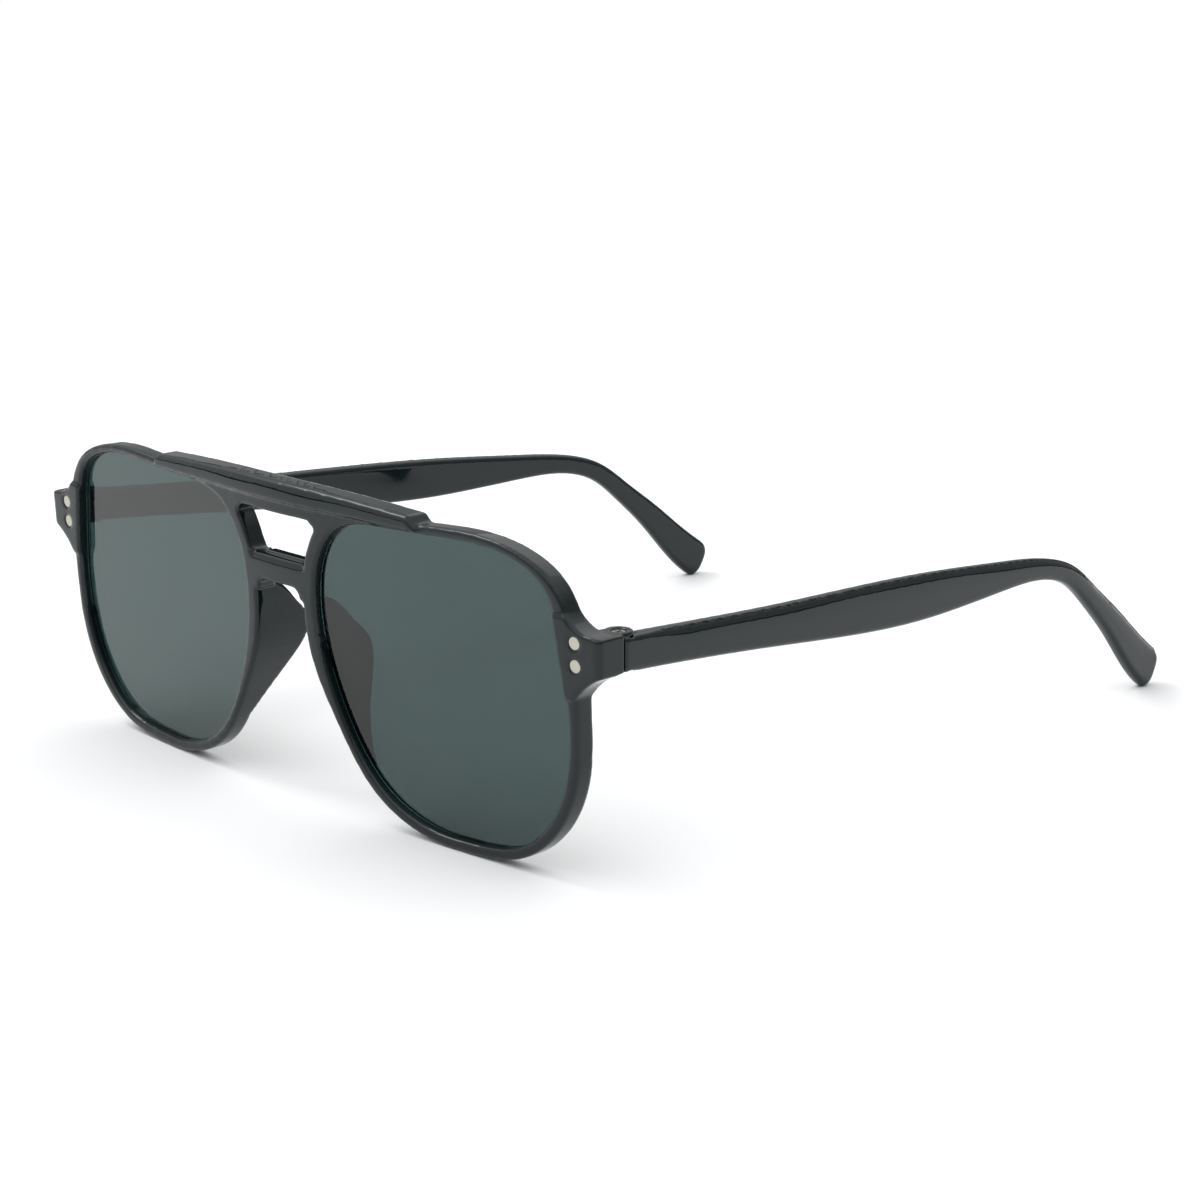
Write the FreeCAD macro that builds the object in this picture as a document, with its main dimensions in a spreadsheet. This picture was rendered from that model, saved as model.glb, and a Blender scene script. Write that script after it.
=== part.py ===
import FreeCAD, Part
import math
import os

# Aviator sunglasses, in millimetres: +Z up, +X the wearer's left, the temples running back along +Y.
# The origin is on the table, midway between the two sides and midway between front and back.

Vec = FreeCAD.Vector
doc = FreeCAD.newDocument("aviator_sunglasses")
sheet = doc.addObject("Spreadsheet::Sheet", "Sizes")

SIZES = {
    # openings for the lenses, and the rims around them
    "lens_wide": 54.4,
    "lens_tall": 49.6,
    "lens_apart": 17.8,
    "rim_base": 1.9,
    "rim_side": 2.1,
    "rim_top": 1.6,
    "rim_end": 3.3,
    "rim_nose": 2.9,
    "rim_deep": 3.7,
    "rim_round": 0.5,
    # form of the front: flat wings swept back from a short curved middle, the top leaning forward
    "wing_sweep": 4.2,
    "face_lean": 3.2,
    "middle_half": 10.4,
    # lens and the groove that holds it
    "lens_thick": 1.8,
    "lens_set": 1.45,
    "tongue_deep": 0.6,
    "tongue_thick": 1.0,
    "groove_gap": 0.03,
    # brow bar across both rims
    "bar_half": 34.3,
    "bar_slant": 1.9,
    "bar_rise": 3.6,
    "bar_end_rise": 2.5,
    "bar_proud": 1.2,
    "bar_round": 0.55,
    "bar_foot": 0.2,
    # window between brow and lower bridge, and the arch over the nose
    "window_half_top": 9.9,
    "window_half_base": 6.7,
    "window_drop": 2.1,
    "window_tall": 7.5,
    "window_corner": 1.3,
    "bridge_tall": 4.5,
    "arch_half": 5.4,
    "arch_round": 1.9,
    "bridge_into_rim": 5.0,
    "bridge_under_bar": 1.0,
    "bridge_clear": 0.2,
    # nose pads moulded on the rims
    "pad_reach": 11.3,
    "pad_peak_drop": 24.6,
    "pad_thick": 3.6,
    "pad_lip": 0.25,
    # raised end plates with their blocks
    "plate_proud": 0.45,
    "plate_inset": 6.0,
    "plate_overhang": 7.5,
    "plate_round": 0.35,
    "block_tall": 6.1,
    "block_drop": 13.6,
    "block_thick": 5.3,
    "block_round": 1.0,
    "block_set": 0.3,
    # hinge
    "hinge_back": 6.5,
    "butt_ahead": 1.5,
    "hinge_inset": 3.0,
    "knuckle_radius": 2.3,
    "knuckle_gap": 0.15,
    "leaf_tall": 1.9,
    "leaf_gap": 0.08,
    "butt_gap": 0.06,
    "screw_radius": 0.6,
    "screw_play": 0.05,
    "screw_head_radius": 1.15,
    "screw_head_tall": 0.6,
    "screw_sunk": 0.35,
    "screw_slot": 0.32,
    "screw_slot_long": 1.66,
    "screw_slot_deep": 0.36,
    "screw_floor": 0.6,
    "screw_end_gap": 0.1,
    # rivets in the end plates
    "rivet_radius": 1.05,
    "rivet_head": 0.45,
    "rivet_shank": 0.55,
    "rivet_long": 2.2,
    "rivet_sunk": 0.12,
    "rivet_play": 0.02,
    "rivet_pitch": 3.6,
    "rivet_inset": 5.0,
    # temples
    "temple_thick": 3.3,
    "tip_thick": 2.5,
    "temple_close": 4.0,
    "temple_start": 4.0,
    "temple_long": 112.0,
    "temple_root": 5.8,
    "temple_belly": 8.0,
    "temple_neck": 3.9,
    "temple_fall": 8.6,
    "hook_back": 40.0,
    "hook_mid": 5.3,
    "hook_end": 6.9,
    "temple_round": 0.95,
    # where the origin lies, behind the front of the bridge
    "origin_back": 79.4,
}


def fill_sheet():
    for row, (name, value) in enumerate(SIZES.items(), start=1):
        sheet.set(f"A{row}", name)
        sheet.set(f"B{row}", str(value))
        sheet.setAlias(f"B{row}", name)
    doc.recompute()


fill_sheet()
size = {name: float(sheet.get(name)) for name in SIZES}

SIDES = {"left": 1, "right": -1}

# The lens opening as shares of its half width and half height, each with the rim that lies outside it.
LENS_SHAPE = [
    (0.06, -1.0, "rim_base"),
    (0.327, -0.986, "rim_base"),
    (0.522, -0.944, "rim_base"),
    (0.829, -0.688, "rim_side"),
    (0.976, -0.325, "rim_side"),
    (0.998, 0.075, "rim_side"),
    (0.950, 0.478, "rim_end"),
    (0.862, 0.808, "rim_side"),
    (0.642, 0.954, "rim_top"),
    (0.153, 1.0, "rim_top"),
    (-0.358, 0.976, "rim_top"),
    (-0.789, 0.885, "rim_nose"),
    (-0.954, 0.639, "rim_nose"),
    (-0.998, 0.337, "rim_nose"),
    (-0.961, 0.014, "rim_nose"),
    (-0.825, -0.381, "rim_base"),
    (-0.545, -0.790, "rim_base"),
    (-0.262, -0.950, "rim_base"),
]

# A nose pad seen from the side: share of its depth that it falls short of its peak, and height above that.
PAD_SHAPE = [
    (1.0, 9.4),
    (0.605, 7.0),
    (0.354, 4.6),
    (0.054, 2.0),
    (0.0, 0.0),
    (0.082, -2.6),
    (0.354, -6.4),
    (0.68, -11.0),
    (1.0, -16.8),
]

# Stations down the middle of a temple: share of the arm's or the hook's length, share of its fall, and
# the width there as a share of the way from one width to another.
ARM_SHAPE = [
    (0.0, 0.035, "temple_root", "temple_belly", 0.0),
    (0.32, 0.40, "temple_root", "temple_belly", 0.386),
    (0.66, 0.74, "temple_root", "temple_belly", 1.0),
    (0.89, 0.87, "temple_neck", "temple_belly", 0.293),
    (1.0, 1.0, "temple_neck", "temple_belly", 0.0),
]
HOOK_SHAPE = [
    (0.21, 0.095, "temple_neck", "hook_mid", 0.0),
    (0.39, 0.275, "temple_neck", "hook_mid", 0.25),
    (0.57, 0.478, "hook_mid", "hook_end", 0.0),
    (0.76, 0.719, "hook_mid", "hook_end", 1.0),
]
# The slanted end of a temple, from its top edge round to its underside: distance short of the end, and height.
TIP_SHAPE = [(2.6, 7.4), (1.35, 6.3), (0.9, 4.9), (1.7, 2.5), (3.1, 0.65), (4.8, 0.0), (6.5, 0.8)]

# The planes that sketches lie in: facing the front, level, and facing a side.
PLANES = {
    "front": FreeCAD.Rotation(Vec(1, 0, 0), 90),
    "level": FreeCAD.Rotation(),
    "side": FreeCAD.Rotation(Vec(1, 1, 1), 120),
}

CLEAR = 20.0            # long enough for any cutter to pass through what it cuts
OVERLAP = 0.1           # by which pieces that are fused run into each other
NEAR = 0.02             # slack in telling where an edge lies

LENS_X = size["lens_apart"] / 2 + size["lens_wide"] / 2
LENS_Z = size["rim_base"] + size["lens_tall"] / 2
LENS_TOP = LENS_Z + size["lens_tall"] / 2
LENS_SIDE = LENS_X + size["lens_wide"] / 2

SWEEP = math.radians(size["wing_sweep"])
LEAN = math.radians(size["face_lean"])
MIDDLE_RADIUS = size["middle_half"] / math.sin(SWEEP)
LEAN_HEIGHT = 25.0      # height at which the front of the bridge is at y = 0 before the origin moves

WINDOW_TOP = LENS_TOP - size["window_drop"]
WINDOW_BASE = WINDOW_TOP - size["window_tall"]
ARCH_TOP = WINDOW_BASE - size["bridge_tall"]
BLOCK_MID = LENS_TOP - size["block_drop"]
BLOCK_TOP = BLOCK_MID + size["block_tall"] / 2
BLOCK_BASE = BLOCK_MID - size["block_tall"] / 2
BLOCK_SIDE = LENS_SIDE + size["plate_overhang"]


def face_y(x, z, behind=0.0):
    """Depth of the front face, or of a surface so far behind it, at a point seen from the front."""
    across = abs(x)
    if across < size["middle_half"]:
        curve = MIDDLE_RADIUS - math.sqrt(MIDDLE_RADIUS ** 2 - across ** 2)
    else:
        flat = MIDDLE_RADIUS * (1 - math.cos(SWEEP))
        curve = flat + (across - size["middle_half"]) * math.tan(SWEEP)
    return curve + behind / math.cos(SWEEP) - (z - LEAN_HEIGHT) * math.tan(LEAN)


HINGE_X = BLOCK_SIDE - size["hinge_inset"]
HINGE_Y = face_y(BLOCK_SIDE, BLOCK_MID) + size["hinge_back"]
BUTT_Y = HINGE_Y - size["butt_ahead"]


def lens_outline(side, rim=False, extra=0.0):
    """The lens outline in front view, pushed outwards by the rim's width or by a set amount."""
    half_wide = size["lens_wide"] / 2
    half_tall = size["lens_tall"] / 2
    base = [Vec(LENS_X + u * half_wide, 0, LENS_Z + v * half_tall) for u, v, width in LENS_SHAPE]
    curve = Part.BSplineCurve()
    curve.interpolate(Points=base, PeriodicFlag=True)
    points = []
    for point, (u, v, width) in zip(base, LENS_SHAPE):
        along = Vec(*curve.tangent(curve.parameter(point))[0])
        across = Vec(along.z, 0, -along.x)
        if across.dot(point - Vec(LENS_X, 0, LENS_Z)) < 0:
            across = across * -1
        place = point + across * (size[width] if rim else extra)
        points.append(Vec(place.x * SIDES[side], 0, place.z))
    curve.interpolate(Points=points, PeriodicFlag=True)
    return [curve]


def outline(corners):
    """A closed path in front view: (x, z) ends a straight run, (x1, z1, x, z) an arc through x1, z1."""
    curves = []
    here = Vec(corners[-1][-2], 0, corners[-1][-1])
    for corner in corners:
        there = Vec(corner[-2], 0, corner[-1])
        if len(corner) == 4:
            curves.append(Part.Arc(here, Vec(corner[0], 0, corner[1]), there))
        else:
            curves.append(Part.LineSegment(here, there))
        here = there
    return curves


def sketch_in(plane, name, curves):
    """A sketch in one of the planes, from curves given where they lie in space."""
    sketch = doc.addObject("Sketcher::SketchObject", name)
    sketch.Placement = FreeCAD.Placement(Vec(0, 0, 0), PLANES[plane])
    into = sketch.Placement.inverse().toMatrix()
    for curve in curves:
        flat = curve.copy()
        flat.transform(into)
        sketch.addGeometry(flat, False)
    return sketch


def pull(name, sketch, direction, forward, backward=0.0):
    """Extrude a sketch along a direction."""
    solid = doc.addObject("Part::Extrusion", name)
    solid.Base = sketch
    solid.DirMode = "Custom"
    solid.Dir = direction
    solid.LengthFwd = forward
    solid.LengthRev = backward
    solid.Solid = True
    return solid


def front_prism(name, curves, ahead=CLEAR):
    """A prism through the whole depth of the front, from an outline seen from the front."""
    return pull(name, sketch_in("front", name + "_outline", curves), Vec(0, 1, 0), 2 * CLEAR, ahead)


def boolean(kind, name, *shapes):
    """kind is Cut, MultiFuse or MultiCommon."""
    result = doc.addObject("Part::" + kind, name)
    if kind == "Cut":
        result.Base, result.Tool = shapes
    else:
        result.Shapes = list(shapes)
    return result


def face_band(name, front, back):
    """The slab between two depths behind the front face, over the whole width, leaning with the face."""
    reach = BLOCK_SIDE + CLEAR
    lines = []
    ends = []
    for behind in (front, back):
        radius = MIDDLE_RADIUS - behind
        centre = Vec(0, MIDDLE_RADIUS, 0)
        right = centre + Vec(math.sin(SWEEP), -math.cos(SWEEP), 0) * radius
        left = Vec(-right.x, right.y, 0)
        tip = Vec(reach, right.y + (reach - right.x) * math.tan(SWEEP), 0)
        far = Vec(-tip.x, tip.y, 0)
        lines.append(Part.LineSegment(far, left))
        lines.append(Part.Arc(left, centre - Vec(0, radius, 0), right))
        lines.append(Part.LineSegment(right, tip))
        ends.append((far, tip))
    lines.append(Part.LineSegment(ends[0][0], ends[1][0]))
    lines.append(Part.LineSegment(ends[0][1], ends[1][1]))
    lean = Vec(0, -math.sin(LEAN), math.cos(LEAN))
    band = pull(name, sketch_in("level", name + "_plan", lines), lean, LENS_TOP + 2 * CLEAR, CLEAR)
    band.Placement.Base = Vec(0, LEAN_HEIGHT * math.tan(LEAN), 0)
    return band


def round_edges(name, base, radius, chosen):
    """Fillet the edges that a test picks."""
    doc.recompute()
    rounded = doc.addObject("Part::Fillet", name)
    rounded.Base = base
    picked = [n for n, edge in enumerate(base.Shape.Edges, start=1) if chosen(edge)]
    rounded.Edges = [(n, radius, radius) for n in picked]
    return rounded


def middle(edge):
    first, last = edge.ParameterRange
    return edge.valueAt((first + last) / 2)


def on_depth(edge, behind):
    """Whether an edge lies on the surface so far behind the front face."""
    first, last = edge.ParameterRange
    places = [edge.valueAt(first + (last - first) * share) for share in (0.15, 0.5, 0.85)]
    return all(abs(p.y - face_y(p.x, p.z, behind)) < NEAR for p in places)


def on_rims(edge, front):
    """Whether an edge lies on the surface so far behind the front face, or on the back of the front."""
    return on_depth(edge, front) or on_depth(edge, size["rim_deep"])


def flip(corners, side):
    """The same path on the wearer's left or right."""
    if SIDES[side] == 1:
        return corners
    return [tuple(-value if n % 2 == 0 else value for n, value in enumerate(c)) for c in corners]


def arch_outline():
    """The panel between the rims, with the rounded corners of the nose arch below it."""
    half = size["arch_half"]
    turn = size["arch_round"]
    reach = size["lens_apart"] / 2 + size["bridge_into_rim"]
    top = LENS_TOP + size["bar_end_rise"] - size["bridge_under_bar"]
    low = ARCH_TOP - turn
    corner = turn * (1 - math.sqrt(0.5))
    return outline([
        (-reach, top), (-reach, low), (-half, low),
        (corner - half, ARCH_TOP - corner, turn - half, ARCH_TOP),
        (half - turn, ARCH_TOP),
        (half - corner, ARCH_TOP - corner, half, low),
        (reach, low), (reach, top),
    ])


def window_outline():
    wide = size["window_half_top"]
    slim = size["window_half_base"]
    cut = size["window_corner"]
    right = [(slim, WINDOW_BASE), (wide, WINDOW_TOP - cut), (wide - cut, WINDOW_TOP)]
    left = [(-x, z) for x, z in reversed(right)]
    return outline(right + left)


def plate_corners():
    """The end plate over the rim's outer side, seen from the front, from its inner top corner round."""
    inner = LENS_SIDE - size["plate_inset"]
    side = BLOCK_SIDE
    return [
        (inner, BLOCK_TOP + 2.05),
        (LENS_SIDE + 0.8, BLOCK_TOP + 2.65),
        (LENS_SIDE + 2.7, BLOCK_TOP + 0.95, side - 2.2, BLOCK_TOP + 0.25),
        (side, BLOCK_TOP),
        (side, BLOCK_BASE + 0.1),
        (side - 3.3, BLOCK_BASE - 1.9, side - 5.6, BLOCK_BASE - 4.4),
        (inner, BLOCK_BASE - 4.9),
    ]


def make_rim(side):
    """One rim with its edges rounded, as a closed ring."""
    disc = front_prism("rim_disc_" + side, lens_outline(side, rim=True))
    opening = front_prism("rim_opening_" + side, lens_outline(side))
    ring = boolean("Cut", "rim_ring_" + side, disc, opening)
    band = face_band("rim_band_" + side, 0, size["rim_deep"])
    slab = boolean("MultiCommon", "rim_slab_" + side, ring, band)
    return round_edges("rim_" + side, slab, size["rim_round"], lambda edge: on_rims(edge, 0))


def make_bridge():
    """The panel between the rims, kept off the rims' inner edges, with its window."""
    panel = front_prism("bridge_panel", arch_outline())
    cutters = [front_prism("window_cut", window_outline())]
    clear = size["rim_round"] + size["bridge_clear"]
    for side in SIDES:
        cutters.append(front_prism("bridge_end_" + side, lens_outline(side, extra=clear)))
    open_panel = boolean("Cut", "bridge_open", panel, boolean("MultiFuse", "bridge_cutters", *cutters))
    return boolean("MultiCommon", "bridge", open_panel, face_band("bridge_band", 0, size["rim_deep"]))


def make_bar():
    """The brow bar, arched along its top and slanted at its ends, standing proud of the rims."""
    half = size["bar_half"]
    top = LENS_TOP + size["bar_rise"]
    end = LENS_TOP + size["bar_end_rise"]
    foot = LENS_TOP + size["bar_foot"]
    slant = size["bar_slant"]
    corners = [(slant - half, end), (0, top, half - slant, end), (half, foot), (-half, foot)]
    blank = front_prism("bar_blank", outline(corners))
    band = face_band("bar_band", -size["bar_proud"], size["rim_deep"])
    slab = boolean("MultiCommon", "bar_slab", blank, band)
    return round_edges("brow_bar", slab, size["bar_round"], lambda edge: on_rims(edge, -size["bar_proud"]))


def is_outer_corner(edge):
    """The upright edge where an end plate's front meets its side."""
    return on_depth(edge, -size["plate_proud"]) and abs(abs(middle(edge).x) - BLOCK_SIDE) < NEAR


def make_plate(side):
    """The raised end plate over the rim's outer side."""
    blank = front_prism("plate_blank_" + side, outline(flip(plate_corners(), side)))
    opening = front_prism("plate_opening_" + side, lens_outline(side))
    shape = boolean("Cut", "plate_shape_" + side, blank, opening)
    band = face_band("plate_band_" + side, -size["plate_proud"], size["rim_deep"])
    slab = boolean("MultiCommon", "plate_slab_" + side, shape, band)
    corner = round_edges("plate_corner_" + side, slab, size["block_round"], is_outer_corner)
    return round_edges("plate_" + side, corner, size["plate_round"],
                       lambda edge: on_depth(edge, -size["plate_proud"]))


def box(name, corner, long, wide, tall):
    """A block from its lowest corner. Its sizes may be expressions."""
    block = doc.addObject("Part::Box", name)
    for edge, value in (("Length", long), ("Width", wide), ("Height", tall)):
        if isinstance(value, str):
            block.setExpression(edge, value)
        else:
            setattr(block, edge, value)
    block.Placement.Base = corner
    return block


def cylinder(name, radius, base, tall):
    """An upright post. Its radius is an expression, and its height may be one."""
    post = doc.addObject("Part::Cylinder", name)
    post.setExpression("Radius", radius)
    if isinstance(tall, str):
        post.setExpression("Height", tall)
    else:
        post.Height = tall
    post.Placement.Base = base
    return post


def make_block(side):
    """The block behind the end plate, with a knuckle above and one below the temple's leaf."""
    front = face_y(BLOCK_SIDE, BLOCK_MID) + size["block_set"]
    low_x = BLOCK_SIDE - size["block_thick"] if SIDES[side] == 1 else -BLOCK_SIDE
    block = box("block_" + side, Vec(low_x, front, BLOCK_BASE),
                "Sizes.block_thick", BUTT_Y - front, "Sizes.block_tall")
    knuckle = cylinder("knuckle_" + side, "Sizes.knuckle_radius",
                       Vec(HINGE_X * SIDES[side], HINGE_Y, BLOCK_BASE), "Sizes.block_tall")
    return [block, knuckle]


def pad_profile():
    """The path round a nose pad seen from the side, with its root sunk into the back of the rim."""
    x = size["lens_apart"] / 2
    peak = LENS_TOP - size["pad_peak_drop"]
    reach = size["pad_reach"]
    deep = reach - size["rim_deep"] - size["pad_lip"]
    crest = [Vec(0, face_y(x, peak + rise, reach - deep * share), peak + rise) for share, rise in PAD_SHAPE]
    curve = Part.BSplineCurve()
    curve.interpolate(crest)
    root = size["rim_deep"] - size["rim_round"] / 2
    ends = [Vec(0, face_y(x, corner.z, root), corner.z) for corner in (crest[-1], crest[0])]
    path = [crest[-1], *ends, crest[0]]
    return [curve] + [Part.LineSegment(a, b) for a, b in zip(path, path[1:])]


def make_pad(side):
    """A nose pad: a fin behind the rim's nose side, bounded by the rim's own outline."""
    rim = front_prism("pad_nose_side_" + side, lens_outline(side, rim=True), ahead=0)
    bare = lens_outline(side, extra=size["rim_nose"] - size["pad_thick"])
    wall = boolean("Cut", "pad_wall_" + side, rim, front_prism("pad_lens_side_" + side, bare, ahead=0))
    sketch = sketch_in("side", "pad_profile_" + side, pad_profile())
    fin = pull("pad_fin_" + side, sketch, Vec(SIDES[side], 0, 0), LENS_X)
    return boolean("MultiCommon", "pad_" + side, wall, fin)


def inward(side):
    """The direction straight into a wing of the front."""
    return Vec(-SIDES[side] * math.tan(SWEEP), 1, math.tan(LEAN)).normalize()


LEAF_BASE = BLOCK_MID - size["leaf_tall"] / 2
LEAF_TOP = BLOCK_MID + size["leaf_tall"] / 2


def hinge_cutters(side):
    """What is taken out of the front for the temple's leaf, the screw and its head."""
    at = Vec(HINGE_X * SIDES[side], HINGE_Y, 0)
    gap = size["leaf_gap"]
    sink = size["screw_sunk"] + size["screw_head_tall"]
    slot = cylinder("leaf_slot_" + side, "Sizes.knuckle_radius + Sizes.knuckle_gap",
                    at + Vec(0, 0, LEAF_BASE - gap), "Sizes.leaf_tall + 2 * Sizes.leaf_gap")
    bore = cylinder("screw_bore_" + side, "Sizes.screw_radius + Sizes.screw_play",
                    at + Vec(0, 0, LEAF_BASE), CLEAR)
    thread = cylinder("screw_thread_" + side, "Sizes.screw_radius",
                      at + Vec(0, 0, BLOCK_BASE + size["screw_floor"]), CLEAR)
    head = cylinder("screw_sink_" + side, "Sizes.screw_head_radius + Sizes.screw_play",
                    at + Vec(0, 0, BLOCK_TOP - sink), CLEAR)
    return [slot, bore, thread, head]


RIVET_X = BLOCK_SIDE - size["rivet_inset"]
RIVET_ROWS = {"upper": BLOCK_MID + size["rivet_pitch"] / 2, "lower": BLOCK_MID - size["rivet_pitch"] / 2}


def rivet_posts(name, side, row, seat):
    """The head and shank of a rivet, or of the seat for it, which is open to the front."""
    height = RIVET_ROWS[row]
    start = Vec(RIVET_X * SIDES[side], face_y(RIVET_X, height, -size["plate_proud"]), height)
    play = " + Sizes.rivet_play" if seat else ""
    head_start = -CLEAR / 2 if seat else size["rivet_sunk"]
    head_end = size["rivet_head"] + size["rivet_sunk"]
    posts = [
        cylinder(name + "_head", "Sizes.rivet_radius" + play, start + inward(side) * head_start,
                 head_end - head_start),
        cylinder(name + "_shank", "Sizes.rivet_shank" + play, start + inward(side) * (head_end - OVERLAP),
                 size["rivet_long"] + OVERLAP),
    ]
    for post in posts:
        post.Placement.Rotation = FreeCAD.Rotation(Vec(0, 0, 1), inward(side))
    return posts


def make_front():
    """The front as one moulding, with its seats, grooves and bores taken out."""
    pieces = [make_bridge(), make_bar()]
    cutters = []
    for side in SIDES:
        pieces += [make_rim(side), make_plate(side), make_pad(side)] + make_block(side)
        cutters += hinge_cutters(side) + [lens_groove(side)]
        for row in RIVET_ROWS:
            cutters += rivet_posts(f"rivet_seat_{row}_{side}", side, row, seat=True)
    solid = boolean("MultiFuse", "front_solid", *pieces)
    front = boolean("Cut", "front_frame", solid, boolean("MultiFuse", "front_cutters", *cutters))
    front.Refine = True
    return front


def lens_slab(name, side, extra, front, thick):
    blank = front_prism(name + "_blank", lens_outline(side, extra=extra))
    band = face_band(name + "_band", front, front + thick)
    return boolean("MultiCommon", name, blank, band)


def tongue_front():
    return size["lens_set"] + (size["lens_thick"] - size["tongue_thick"]) / 2


def lens_groove(side):
    gap = size["groove_gap"]
    return lens_slab("lens_groove_" + side, side, size["tongue_deep"] + gap, tongue_front() - gap,
                     size["tongue_thick"] + 2 * gap)


def make_lens(side):
    """A flat tinted lens with a tongue round its edge that snaps into the rim's groove."""
    body = lens_slab("lens_body_" + side, side, -size["groove_gap"], size["lens_set"], size["lens_thick"])
    tongue = lens_slab("lens_tongue_" + side, side, size["tongue_deep"], tongue_front(), size["tongue_thick"])
    return boolean("MultiFuse", "lens_" + side, body, tongue)


NECK_Z = BLOCK_MID - size["temple_fall"]


def temple_line():
    """Stations down the middle of a temple: distance behind the hinge, height and width there."""
    arm = size["temple_long"]
    line = [(-size["temple_start"], BLOCK_MID, size["temple_root"])]
    for share, fall, first, second, mix in ARM_SHAPE:
        width = size[first] + (size[second] - size[first]) * mix
        line.append((arm * share, BLOCK_MID - size["temple_fall"] * fall, width))
    for share, fall, first, second, mix in HOOK_SHAPE:
        width = size[first] + (size[second] - size[first]) * mix
        line.append((arm + size["hook_back"] * share, NECK_Z * (1 - fall), width))
    return line


def temple_curves():
    """A temple's outline seen from its side, as one curve closed by a straight front edge."""
    line = temple_line()
    upper = []
    lower = []
    for n, (back, height, width) in enumerate(line):
        before = line[max(n - 1, 0)]
        after = line[min(n + 1, len(line) - 1)]
        along = Vec(0, after[0] - before[0], after[1] - before[1]).normalize()
        up = Vec(0, -along.z, along.y)
        upper.append(Vec(0, back, height) + up * (width / 2))
        lower.append(Vec(0, back, height) - up * (width / 2))
    end = size["temple_long"] + size["hook_back"]
    tip = [Vec(0, end - short, height) for short, height in TIP_SHAPE]
    curve = Part.BSplineCurve()
    curve.interpolate(upper + tip + lower[::-1])
    return [curve, Part.LineSegment(lower[0], upper[0])]


def temple_plan(side):
    """A temple seen from above, in its own frame: it thins towards its tip on its inner side."""
    sign = SIDES[side]
    outer = size["hinge_inset"]
    start = -size["temple_start"] - OVERLAP
    far = size["temple_long"] + size["hook_back"]
    corners = [
        (outer, start), (outer, far), (outer - size["tip_thick"], far), (outer - size["temple_thick"], start),
    ]
    places = [Vec(x * sign, y, 0) for x, y in corners]
    lines = [Part.LineSegment(a, b) for a, b in zip(places, places[1:] + places[:1])]
    sketch = sketch_in("level", "temple_plan_" + side, lines)
    return pull("temple_taper_" + side, sketch, Vec(0, 0, 1), LENS_TOP, LENS_TOP)


def hinge_frame(side):
    """A temple's own frame: its origin on the hinge axis, +Y along the temple."""
    turn = FreeCAD.Rotation(Vec(0, 0, 1), SIDES[side] * size["temple_close"])
    return FreeCAD.Placement(Vec(HINGE_X * SIDES[side], HINGE_Y, 0), turn)


def temple_blade(side):
    """A temple's long body, thinned towards its tip and rounded along its edges."""
    sign = SIDES[side]
    sketch = sketch_in("side", "temple_outline_" + side, temple_curves())
    blade = pull("temple_blade_" + side, sketch, Vec(-sign, 0, 0), size["temple_thick"])
    blade.Placement.Base = Vec(sign * size["hinge_inset"], 0, 0)
    tapered = boolean("MultiCommon", "temple_tapered_" + side, blade, temple_plan(side))
    body = round_edges("temple_body_" + side, tapered, size["temple_round"],
                       lambda edge: edge.Length > size["temple_long"])
    body.Placement = hinge_frame(side)
    return body


def make_temple(side):
    """A temple with the leaf that sits between the front's two knuckles."""
    sign = SIDES[side]
    at = Vec(HINGE_X * sign, HINGE_Y, 0)
    ahead = Vec(-CLEAR / 2, BUTT_Y + size["butt_gap"] - HINGE_Y - CLEAR, 0)
    room = "Sizes.knuckle_radius + Sizes.knuckle_gap"
    cutters = [
        box("temple_front_cut_" + side, at + ahead, CLEAR, CLEAR, LENS_TOP),
        cylinder("temple_over_leaf_" + side, room, at + Vec(0, 0, LEAF_TOP), CLEAR),
        cylinder("temple_under_leaf_" + side, room, at + Vec(0, 0, LEAF_BASE - CLEAR), CLEAR),
    ]
    room_cut = boolean("MultiFuse", "temple_room_" + side, *cutters)
    cut = boolean("Cut", "temple_cut_" + side, temple_blade(side), room_cut)
    leaf = cylinder("temple_leaf_" + side, "Sizes.knuckle_radius", at + Vec(0, 0, LEAF_BASE), "Sizes.leaf_tall")
    inner = size["hinge_inset"] - size["temple_thick"]
    web_long = size["knuckle_radius"] - inner
    web_at = Vec(inner if sign == 1 else -size["knuckle_radius"], 0, LEAF_BASE)
    web = box("temple_web_" + side, at + web_at, web_long, "Sizes.knuckle_radius + Sizes.butt_ahead",
              "Sizes.leaf_tall")
    whole = boolean("MultiFuse", "temple_whole_" + side, cut, leaf, web)
    bore = cylinder("leaf_bore_" + side, "Sizes.screw_radius + Sizes.screw_play", at, LENS_TOP)
    temple = boolean("Cut", "temple_" + side, whole, bore)
    temple.Refine = True
    return temple


def make_screw(side):
    """A hinge screw: a plain shaft under a flat head with a cross recess."""
    at = Vec(HINGE_X * SIDES[side], HINGE_Y, 0)
    head_top = BLOCK_TOP - size["screw_sunk"]
    head_base = head_top - size["screw_head_tall"]
    foot = BLOCK_BASE + size["screw_floor"] + size["screw_end_gap"]
    shaft = cylinder("screw_shaft_" + side, "Sizes.screw_radius", at + Vec(0, 0, foot), head_top - foot)
    head = cylinder("screw_head_" + side, "Sizes.screw_head_radius", at + Vec(0, 0, head_base),
                    "Sizes.screw_head_tall")
    slim = size["screw_slot"]
    long = size["screw_slot_long"]
    deep = Vec(0, 0, head_top - size["screw_slot_deep"])
    slots = [
        box("screw_slot_across_" + side, at + deep + Vec(-slim / 2, -long / 2, 0), slim, long, CLEAR),
        box("screw_slot_along_" + side, at + deep + Vec(-long / 2, -slim / 2, 0), long, slim, CLEAR),
    ]
    solid = boolean("MultiFuse", "screw_solid_" + side, shaft, head)
    return boolean("Cut", "hinge_screw_" + side, solid, boolean("MultiFuse", "screw_cross_" + side, *slots))


def make_rivet(side, row):
    name = f"rivet_{row}_{side}"
    return boolean("MultiFuse", name, *rivet_posts(name, side, row, seat=False))


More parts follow.
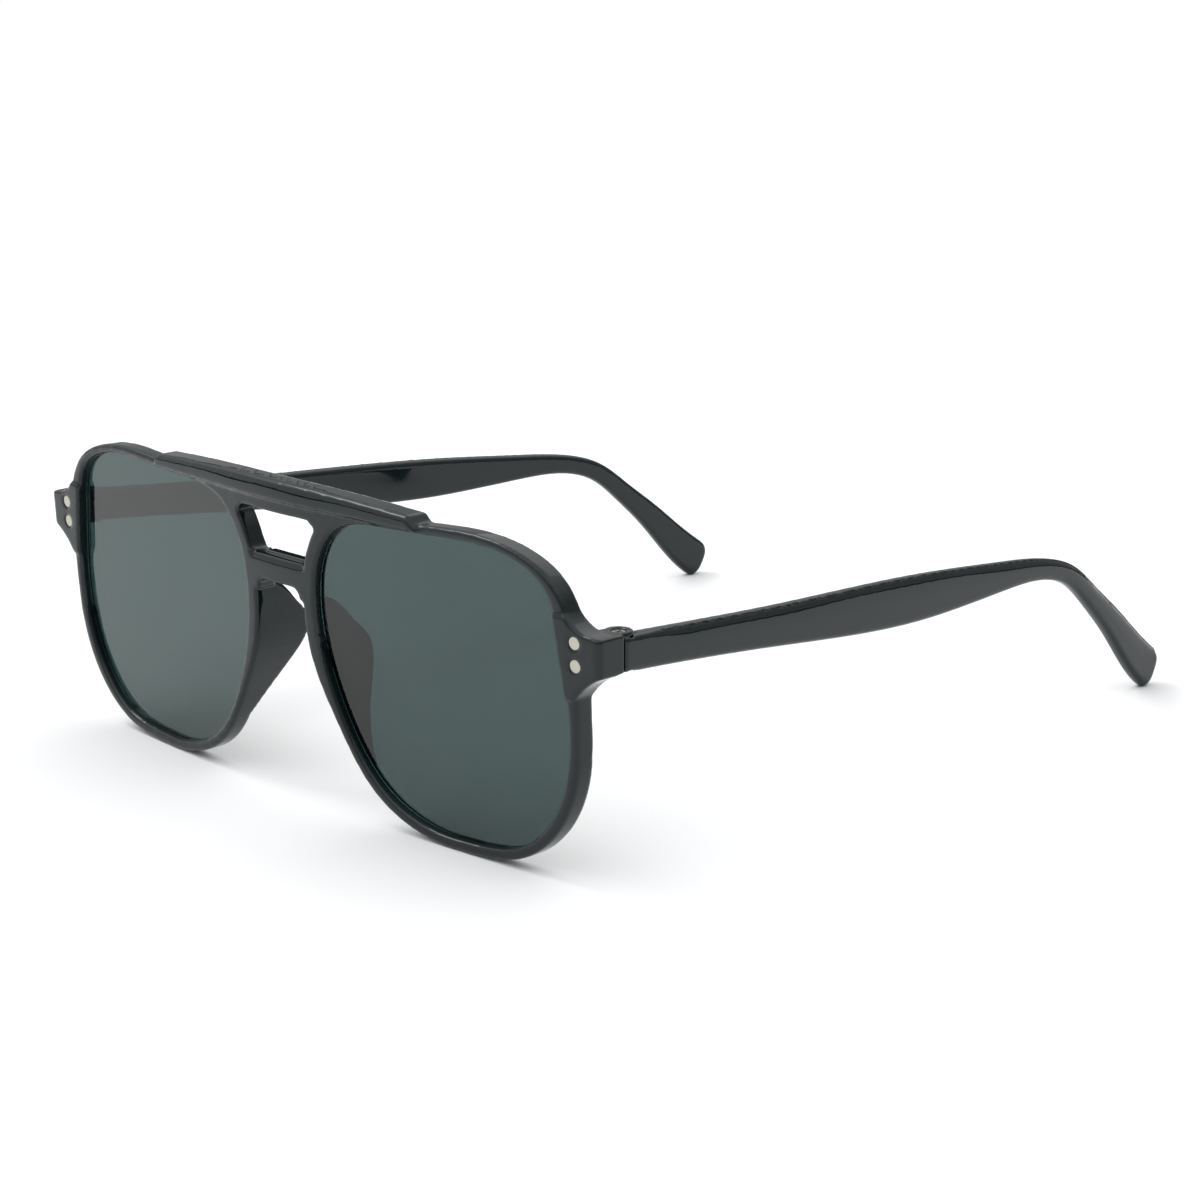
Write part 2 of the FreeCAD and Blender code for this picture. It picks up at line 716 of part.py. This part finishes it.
def make_assembly():
    """Every piece of the sunglasses, by the name of its node."""
    pieces = [make_front()]
    for side in SIDES:
        pieces += [make_lens(side), make_temple(side), make_screw(side)]
        pieces += [make_rivet(side, row) for row in RIVET_ROWS]
    for piece in pieces:
        piece.Label = piece.Name
    return pieces


def check_document(pieces):
    for item in doc.Objects:
        if "Invalid" in item.State or "Error" in item.State:
            raise RuntimeError(f"{item.Name} failed: {item.State}")
    for piece in pieces:
        shape = piece.Shape
        if shape.isNull() or not shape.isValid() or len(shape.Solids) != 1:
            raise RuntimeError(f"{piece.Label} is not one valid solid")


def write_pieces(pieces):
    os.makedirs("parts", exist_ok=True)
    for piece in pieces:
        piece.Shape.exportStep(f"parts/{piece.Label}.step")
        bounds = piece.Shape.BoundBox
        print(f"{piece.Label}: {piece.Shape.Volume:.1f} mm3, x {bounds.XMin:.2f} {bounds.XMax:.2f}, "
              f"y {bounds.YMin:.2f} {bounds.YMax:.2f}, z {bounds.ZMin:.2f} {bounds.ZMax:.2f}")


def main():
    pieces = make_assembly()
    doc.recompute()
    for piece in pieces:
        piece.Placement.Base = piece.Placement.Base - Vec(0, size["origin_back"], 0)
    doc.recompute()
    check_document(pieces)
    write_pieces(pieces)


main()
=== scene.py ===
import math

import bmesh
import bpy
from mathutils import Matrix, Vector


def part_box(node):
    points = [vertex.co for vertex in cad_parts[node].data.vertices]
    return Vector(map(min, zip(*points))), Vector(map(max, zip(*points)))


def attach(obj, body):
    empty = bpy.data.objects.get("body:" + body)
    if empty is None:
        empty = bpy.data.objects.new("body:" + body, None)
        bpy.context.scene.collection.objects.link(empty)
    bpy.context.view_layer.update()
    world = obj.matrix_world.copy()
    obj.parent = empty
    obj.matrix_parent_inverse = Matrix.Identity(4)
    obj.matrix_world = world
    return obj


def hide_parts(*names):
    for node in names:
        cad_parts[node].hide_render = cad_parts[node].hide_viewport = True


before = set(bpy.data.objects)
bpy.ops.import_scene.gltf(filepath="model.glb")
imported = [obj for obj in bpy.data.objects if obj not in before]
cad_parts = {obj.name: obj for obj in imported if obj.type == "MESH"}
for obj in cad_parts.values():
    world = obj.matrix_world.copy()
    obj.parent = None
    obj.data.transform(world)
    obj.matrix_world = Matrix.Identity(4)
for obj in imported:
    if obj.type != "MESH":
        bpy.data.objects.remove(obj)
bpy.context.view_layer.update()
bpy.ops.object.select_all(action="DESELECT")
mm = 0.001
sides = {"left": 1, "right": -1}
print("frame loaded:", len(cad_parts), "nodes")


def colour(hexText):
    # sRGB hex to the linear values that a shader works in
    channels = [int(hexText[i:i + 2], 16) / 255 for i in (1, 3, 5)]
    linear = [c / 12.92 if c <= 0.04045 else ((c + 0.055) / 1.055) ** 2.4 for c in channels]
    return (*linear, 1)


def addNode(tree, kind, inputs=None, **settings):
    # one node with its settings and links: an input is a value or another node's socket
    node = tree.nodes.new(kind)
    for name, value in settings.items():
        setattr(node, name, value)
    for name, value in (inputs or {}).items():
        if isinstance(value, bpy.types.NodeSocket):
            tree.links.new(value, node.inputs[name])
        else:
            node.inputs[name].default_value = value
    return node


def newMaterial(name):
    material = bpy.data.materials.new(name)
    material.use_nodes = True
    material.node_tree.nodes.clear()
    return material, material.node_tree


def finishMaterial(tree, shader):
    addNode(tree, "ShaderNodeOutputMaterial", {"Surface": shader.outputs[0]})


# Injection-moulded cellulose propionate, tumbled to a high polish: black right through and mirror-like,
# with the slow wave of a thick moulding and faint wiping marks.
plastic = {
    "black": "#0b1719",
    "waveLength": 7 * mm,      # shrink waves in thick walls
    "waveHeight": 0.012 * mm,
    "peelLength": 0.6 * mm,    # orange peel left by the tumbling
    "peelHeight": 0.0006 * mm,
    "wipeWide": 0.09 * mm,     # wiping marks are finer, drawn as coarse as they need to show
    "wipeLong": 9 * mm,
    "wipeTurn": (0.3, 0.9, 0.5),
    "wipeFrom": 0.45,          # shares of the noise between which polish turns to wiped
    "wipeTo": 0.8,
    "polished": 0.035,
    "wiped": 0.085,
    "ior": 1.42,
}


def polishedPlastic():
    material, tree = newMaterial("tumbled_moulded_plastic")
    place = addNode(tree, "ShaderNodeTexCoord").outputs["Object"]
    wave = addNode(tree, "ShaderNodeTexNoise", {
        "Vector": place, "Scale": 1 / plastic["waveLength"], "Detail": 0.0})
    peel = addNode(tree, "ShaderNodeTexNoise", {
        "Vector": place, "Scale": 1 / plastic["peelLength"], "Detail": 1.0})
    waveBump = addNode(tree, "ShaderNodeBump", {
        "Height": wave.outputs["Fac"], "Strength": 1.0, "Distance": plastic["waveHeight"]})
    peelBump = addNode(tree, "ShaderNodeBump", {
        "Height": peel.outputs["Fac"], "Strength": 1.0, "Distance": plastic["peelHeight"],
        "Normal": waveBump.outputs["Normal"]})
    stretched = addNode(tree, "ShaderNodeMapping", {
        "Vector": place, "Rotation": plastic["wipeTurn"],
        "Scale": (1 / plastic["wipeLong"], 1 / plastic["wipeWide"], 1 / plastic["wipeWide"])})
    wipe = addNode(tree, "ShaderNodeTexNoise", {
        "Vector": stretched.outputs["Vector"], "Scale": 1.0, "Detail": 3.0})
    shine = addNode(tree, "ShaderNodeMapRange", {
        "Value": wipe.outputs["Fac"], "From Min": plastic["wipeFrom"], "From Max": plastic["wipeTo"],
        "To Min": plastic["polished"], "To Max": plastic["wiped"]})
    shader = addNode(tree, "ShaderNodeBsdfPrincipled", {
        "Base Color": colour(plastic["black"]), "Roughness": shine.outputs["Result"], "IOR": plastic["ior"],
        "Normal": peelBump.outputs["Normal"]})
    finishMaterial(tree, shader)
    return material


# Grey-green polycarbonate, tinted right through and clear: a dim view through it under a clean mirror image.
lensSheet = {"tintDeep": "#273f3d", "tintPale": "#2d4341", "flowLength": 18 * mm, "ior": 1.5}


def tintedPolycarbonate():
    material, tree = newMaterial("tinted_polycarbonate")
    place = addNode(tree, "ShaderNodeTexCoord").outputs["Object"]
    flow = addNode(tree, "ShaderNodeTexNoise", {
        "Vector": place, "Scale": 1 / lensSheet["flowLength"], "Detail": 1.0})
    # in a colour mix, inputs 6 and 7 are the two colours, and output 2 is the mixed one
    tint = addNode(tree, "ShaderNodeMix", {
        "Factor": flow.outputs["Fac"], 6: colour(lensSheet["tintDeep"]), 7: colour(lensSheet["tintPale"])},
        data_type="RGBA")
    shader = addNode(tree, "ShaderNodeBsdfPrincipled", {
        "Base Color": tint.outputs[2], "Roughness": 0.0, "IOR": lensSheet["ior"], "Transmission Weight": 1.0})
    finishMaterial(tree, shader)
    return material


# Nickel-plated steel, faced and brushed: warm satin grey with a fine grain that blurs what it mirrors.
facedSteel = {
    "steel": "#b9b6aa",
    "grainLength": 0.09 * mm,
    "grainHeight": 0.004 * mm,
    "grainStrength": 0.6,
    "satin": 0.3,
}


def turnedSteel():
    material, tree = newMaterial("faced_nickel_steel")
    place = addNode(tree, "ShaderNodeTexCoord").outputs["Object"]
    grain = addNode(tree, "ShaderNodeTexNoise", {
        "Vector": place, "Scale": 1 / facedSteel["grainLength"], "Detail": 2.0})
    bump = addNode(tree, "ShaderNodeBump", {
        "Height": grain.outputs["Fac"], "Strength": facedSteel["grainStrength"],
        "Distance": facedSteel["grainHeight"]})
    shader = addNode(tree, "ShaderNodeBsdfPrincipled", {
        "Base Color": colour(facedSteel["steel"]), "Metallic": 1.0, "Roughness": facedSteel["satin"],
        "Normal": bump.outputs["Normal"]})
    finishMaterial(tree, shader)
    return material


blackPlastic = polishedPlastic()
lensTint = tintedPolycarbonate()
steel = turnedSteel()
for name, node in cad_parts.items():
    finish = blackPlastic
    if name.startswith("lens"):
        finish = lensTint
    if name.startswith(("rivet", "hinge_screw")):
        finish = steel
    node.data.materials.clear()
    node.data.materials.append(finish)
print("finishes ready")


def pick(piece):
    # makes one object the only selected and active one
    bpy.ops.object.select_all(action="DESELECT")
    piece.select_set(True)
    bpy.context.view_layer.objects.active = piece


def copyOfNode(nodeName, pieceName):
    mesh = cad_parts[nodeName].data.copy()
    piece = bpy.data.objects.new(pieceName, mesh)
    bpy.context.scene.collection.objects.link(piece)
    pick(piece)
    return piece


def paint(piece, finish):
    piece.data.materials.clear()
    piece.data.materials.append(finish)


def tumble(piece, grit, rounds):
    # closes the copied triangles, covers them with an even skin and rubs its edges round
    bpy.ops.object.mode_set(mode="EDIT")
    bpy.ops.mesh.select_all(action="SELECT")
    bpy.ops.mesh.remove_doubles(threshold=0.001 * mm)
    bpy.ops.object.mode_set(mode="OBJECT")
    skin = piece.modifiers.new("skin", "REMESH")
    skin.mode = "VOXEL"
    skin.voxel_size = grit
    bpy.ops.object.modifier_apply(modifier=skin.name)
    rub = piece.modifiers.new("rub", "SMOOTH")
    rub.factor = 0.5
    rub.iterations = rounds
    bpy.ops.object.modifier_apply(modifier=rub.name)
    bpy.ops.object.shade_smooth()


def smoothStep(low, high, value):
    # 0 at low, 1 at high, with soft ends
    t = min(max((value - low) / (high - low), 0), 1)
    return t * t * (3 - 2 * t)


frontShape = {
    "grit": 0.3 * mm,
    "rounds": 9,
    "barBase": 51.2 * mm,
    "barTop": 54.6 * mm,
    "barHalf": 34.5 * mm,
    "baseBlend": 0.6 * mm,     # over which the crown begins, above and below the bar's base
    "endBlend": 2 * mm,
    "crownStart": -0.35,       # share of the half height, from the bar's middle, where it starts to fall back
    "barCrown": 0.22 * mm,
    "barRub": 0.05 * mm,
    "barWave": 0.0175,         # tilt of the slow wave along the bar
    "wavePeriod": 17.5 * mm,
    "waveCrest": 10 * mm,
    "shelfBase": 39.9 * mm,    # the lower bridge's upper edge falls back too
    "shelfTop": 41.9 * mm,
    "shelfHalf": 7.6 * mm,
    "shelfDeep": 0.75 * mm,
    "shelfBlend": 1.5 * mm,
}


def crownBar(piece):
    # the brow bar's front is a shallow pillow that falls back towards its top edge
    s = frontShape
    middle = (s["barBase"] + s["barTop"]) / 2
    half = (s["barTop"] - s["barBase"]) / 2
    for v in piece.data.vertices:
        x, y, z = v.co
        share = smoothStep(s["barBase"] - s["baseBlend"], s["barBase"] + s["baseBlend"], z)
        share *= smoothStep(s["barHalf"], s["barHalf"] - s["endBlend"], abs(x))
        if share == 0 or v.normal.y > -0.2:
            continue
        past = max((z - middle) / half - s["crownStart"], 0)
        wave = s["barWave"] * math.cos(2 * math.pi * (abs(x) - s["waveCrest"]) / s["wavePeriod"])
        v.co.y += share * (s["barCrown"] * past ** 2 + wave * (z - middle) + s["barRub"])


def easeBridge(piece):
    # a sloping shelf along the top of the lower bridge
    s = frontShape
    for v in piece.data.vertices:
        rise = (v.co.z - s["shelfBase"]) / (s["shelfTop"] - s["shelfBase"])
        if v.normal.y > 0.1 or not 0 < rise < 1:
            continue
        reach = smoothStep(s["shelfHalf"], s["shelfHalf"] - s["shelfBlend"], abs(v.co.x))
        v.co.y += s["shelfDeep"] * rise * rise * reach


front = copyOfNode("front_frame", "moulded_front")
tumble(front, frontShape["grit"], frontShape["rounds"])
crownBar(front)
easeBridge(front)
paint(front, blackPlastic)
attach(front, "front")
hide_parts("front_frame")
print("front ready:", len(front.data.polygons), "faces")

templeShape = {
    "grit": 0.26 * mm,
    "rounds": 9,
    "crown": 0.5 * mm,       # by which the outer face falls in at its top edge
    "wave": 0.10,            # share by which the crown comes and goes
    "wavePeriod": 31 * mm,
    "flatEnd": 4 * mm,       # left flat next to the hinge
    "fullCrown": 16 * mm,    # where the crown has grown to its full depth
    "outward": (0.3, 0.7),   # how far a face looks outwards before it moves, and when it moves fully
    "station": 1 * mm,
}


def crownTemple(piece, sign):
    # the outer face rolls inwards over its upper half
    s = templeShape
    heights = {}
    for v in piece.data.vertices:
        heights.setdefault(round(v.co.y / s["station"]), []).append(v.co.z)
    stations = sorted(heights)
    tops = {n: max(heights[n]) for n in stations}
    feet = {n: min(heights[n]) for n in stations}
    first = stations[0] * s["station"]
    for v in piece.data.vertices:
        outward = smoothStep(*s["outward"], v.normal.x * sign)
        if outward == 0:
            continue
        here = v.co.y / s["station"]
        low = min(max(int(here // 1), stations[0]), stations[-1] - 1)
        share = min(max(here - low, 0), 1)
        top = tops[low] * (1 - share) + tops[low + 1] * share
        foot = feet[low] * (1 - share) + feet[low + 1] * share
        t = (2 * v.co.z - top - foot) / (top - foot)
        if t <= 0:
            continue
        wave = 1 + s["wave"] * math.cos(2 * math.pi * v.co.y / s["wavePeriod"])
        begin = smoothStep(first + s["flatEnd"], first + s["fullCrown"], v.co.y)
        v.co.x -= sign * s["crown"] * wave * begin * t * t * outward


for side, sign in sides.items():
    temple = copyOfNode("temple_" + side, "moulded_temple_" + side)
    tumble(temple, templeShape["grit"], templeShape["rounds"])
    crownTemple(temple, sign)
    paint(temple, blackPlastic)
    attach(temple, side + "_temple")
    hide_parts("temple_" + side)
    print("temple ready:", side, len(temple.data.polygons), "faces")


def selectFaces(piece, test):
    # in edit mode, selects the faces that pass the test
    shape = bmesh.from_edit_mesh(piece.data)
    for face in shape.faces:
        face.select_set(False)
    for face in shape.faces:
        face.select_set(test(face))
    bmesh.update_edit_mesh(piece.data)


def addPin(name, at, axis, pin):
    # a turned pin: head with a broken edge and a faint dome, and a slimmer shank behind it
    bpy.ops.object.select_all(action="DESELECT")
    bpy.ops.mesh.primitive_cylinder_add(
        vertices=56, radius=pin["radius"], depth=pin["head"], location=at - axis * pin["head"] / 2,
        rotation=axis.to_track_quat("Z", "Y").to_euler())
    piece = bpy.context.object
    piece.name = name
    bpy.ops.object.mode_set(mode="EDIT")
    bpy.ops.mesh.select_mode(type="FACE")
    selectFaces(piece, lambda face: face.normal.z < -0.9)
    bpy.ops.mesh.inset(thickness=pin["radius"] - pin["shankRadius"])
    bpy.ops.mesh.extrude_region_move(TRANSFORM_OT_translate={"value": axis * -pin["shank"]})
    selectFaces(piece, lambda face: face.normal.z > 0.9)
    bpy.ops.mesh.bevel(offset=pin["edge"], segments=3, affect="EDGES")
    selectFaces(piece, lambda face: face.normal.z > 0.999)
    ring = (pin["radius"] - pin["edge"]) / (len(pin["dome"]) + 1)
    for rise in pin["dome"]:
        bpy.ops.mesh.inset(thickness=ring)
        bpy.ops.transform.translate(value=axis * rise)
    bpy.ops.object.mode_set(mode="OBJECT")
    return piece


def finishPin(piece, body, node):
    pick(piece)
    bpy.ops.object.transform_apply(location=True, rotation=True, scale=True)
    bpy.ops.object.shade_smooth_by_angle(angle=math.radians(40))
    paint(piece, steel)
    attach(piece, body)
    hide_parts(node)


def headFace(node):
    # where a rivet's flat head lies and which way it looks, from the node's own foremost faces
    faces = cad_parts[node].data.polygons
    ahead = min(faces, key=lambda face: face.normal.y).normal.copy()
    alike = [face for face in faces if face.normal.dot(ahead) > 0.999]
    level = max(face.center.dot(ahead) for face in alike)
    head = [face for face in alike if face.center.dot(ahead) > level - 0.05 * mm]
    area = sum(face.area for face in head)
    return sum((face.center * face.area for face in head), Vector()) / area, ahead


rivetShape = {
    "radius": 1.05 * mm,
    "head": 0.42 * mm,
    "shankRadius": 0.55 * mm,
    "shank": 2.1 * mm,
    "edge": 0.09 * mm,
    "dome": (0.02 * mm, 0.01 * mm, 0.005 * mm),    # rise of each ring towards the middle
}
for side in sides:
    for row in ("upper", "lower"):
        node = f"rivet_{row}_{side}"
        place, ahead = headFace(node)
        rim = place - ahead * sum(rivetShape["dome"])    # so that the dome's middle lies level with the node
        pin = addPin(f"turned_rivet_{row}_{side}", rim, ahead, rivetShape)
        finishPin(pin, "front", node)
print("rivets ready")

screwShape = {
    "radius": 1.15 * mm,
    "head": 0.6 * mm,
    "shankRadius": 0.6 * mm,
    "shank": 4.4 * mm,
    "edge": 0.14 * mm,
    "dome": (0.0, 0.0),    # flat, with two rings
    "slotLong": 1.6 * mm,
    "slotWide": 0.32 * mm,
    "slotDeep": 0.36 * mm,
    "slotTurns": (0.4, 0.4 + math.pi / 2),
}


def cutCross(screw, at):
    # takes two crossed bars out of a screw's head
    s = screwShape
    for turn in s["slotTurns"]:
        bpy.ops.mesh.primitive_cube_add(size=1, location=at, rotation=(0, 0, turn))
        bar = bpy.context.object
        bar.scale = (s["slotLong"], s["slotWide"], 2 * s["slotDeep"])
        cutter = screw.modifiers.new("cross", "BOOLEAN")
        cutter.operation = "DIFFERENCE"
        cutter.object = bar
        bpy.context.view_layer.objects.active = screw
        bpy.ops.object.modifier_apply(modifier=cutter.name)
        bpy.data.objects.remove(bar)


for side in sides:
    node = "hinge_screw_" + side
    low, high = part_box(node)
    top = Vector(((low[0] + high[0]) / 2, (low[1] + high[1]) / 2, high[2]))
    screw = addPin("cross_screw_" + side, top, Vector((0, 0, 1)), screwShape)
    cutCross(screw, top)
    finishPin(screw, "front", node)
print("hinge screws ready")

# A white paper floor, grey walls with a dark line where they meet it, a lamp at the left and one behind.
studio = {
    "eye": (0.36457, -0.36123, 0.15574),
    "azimuth": 45.8,
    "elevation": 14.83,
    "lens": 87.03,
    "sensor": 36,
    "floorSize": 3.4,
    "floor": "#f6f6f6",
    "horizon": 0.02,
    "wall": 0.42,
    "ceiling": 1.3,
    "cool": (1.0, 1.01, 1.02),
    "left": (-0.7, -0.7, 0),
    "leftGlow": 1.3,       # share by which the wall on the left is brighter than the others
    "heights": {0.03: "horizon", 0.05: "wall", 0.45: "wall", 0.8: "ceiling"},
    "aim": (0, 0, 0.02),
}


def addCamera():
    data = bpy.data.cameras.new("camera")
    data.lens = studio["lens"]
    data.sensor_width = studio["sensor"]
    data.clip_start = 0.01
    camera = bpy.data.objects.new("camera", data)
    camera.location = studio["eye"]
    camera.rotation_euler = (math.radians(90 - studio["elevation"]), 0, math.radians(studio["azimuth"]))
    bpy.context.scene.collection.objects.link(camera)
    bpy.context.scene.camera = camera


def addFloor():
    bpy.ops.mesh.primitive_plane_add(size=studio["floorSize"])
    floor = bpy.context.object
    floor.name = "floor"
    material, tree = newMaterial("white_studio_paper")
    shader = addNode(tree, "ShaderNodeBsdfPrincipled", {
        "Base Color": colour(studio["floor"]), "Roughness": 0.9, "Specular IOR Level": 0.1})
    finishMaterial(tree, shader)
    floor.data.materials.append(material)


def addWorld():
    world = bpy.data.worlds.new("studio")
    bpy.context.scene.world = world
    world.use_nodes = True
    tree = world.node_tree
    tree.nodes.clear()
    toward = addNode(tree, "ShaderNodeTexCoord").outputs["Generated"]
    height = addNode(tree, "ShaderNodeSeparateXYZ", {"Vector": toward}).outputs["Z"]
    ramp = addNode(tree, "ShaderNodeValToRGB", {"Fac": height})
    stops = ramp.color_ramp.elements
    stops[0].color = (studio["horizon"],) * 3 + (1,)
    stops[1].color = (studio["ceiling"],) * 3 + (1,)
    for place, level in studio["heights"].items():
        stops.new(place).color = (*(studio[level] * share for share in studio["cool"]), 1)
    leftward = addNode(tree, "ShaderNodeVectorMath", {0: toward, 1: studio["left"]}, operation="DOT_PRODUCT")
    glow = addNode(tree, "ShaderNodeMapRange", {
        "Value": leftward.outputs["Value"], "From Min": 0.2, "From Max": 0.9,
        "To Min": 1.0, "To Max": 1 + studio["leftGlow"]})
    walls = addNode(tree, "ShaderNodeBackground", {
        "Color": ramp.outputs["Color"], "Strength": glow.outputs["Result"]})
    paper = addNode(tree, "ShaderNodeBackground", {"Color": (1, 1, 1, 1), "Strength": 1.0})
    seen = addNode(tree, "ShaderNodeLightPath").outputs["Is Camera Ray"]
    # the two shaders that are mixed are inputs 1 and 2
    mix = addNode(tree, "ShaderNodeMixShader", {"Fac": seen, 1: walls.outputs[0], 2: paper.outputs[0]})
    addNode(tree, "ShaderNodeOutputWorld", {"Surface": mix.outputs[0]})


def addLamp(name, place, size, power):
    data = bpy.data.lights.new(name, "AREA")
    data.shape = "RECTANGLE"
    data.size, data.size_y = size
    data.energy = power
    lamp = bpy.data.objects.new(name, data)
    lamp.location = place
    lamp.rotation_euler = (Vector(studio["aim"]) - Vector(place)).to_track_quat("-Z", "Y").to_euler()
    bpy.context.scene.collection.objects.link(lamp)


addCamera()
addFloor()
addWorld()
addLamp("keyLamp", (-0.9, -0.35, 1.3), (0.55, 0.55), 4.6)
addLamp("backLamp", (-0.6, 1.3, 1.2), (1.6, 1.2), 3)
bpy.context.scene.view_settings.view_transform = "Standard"
print("studio ready")
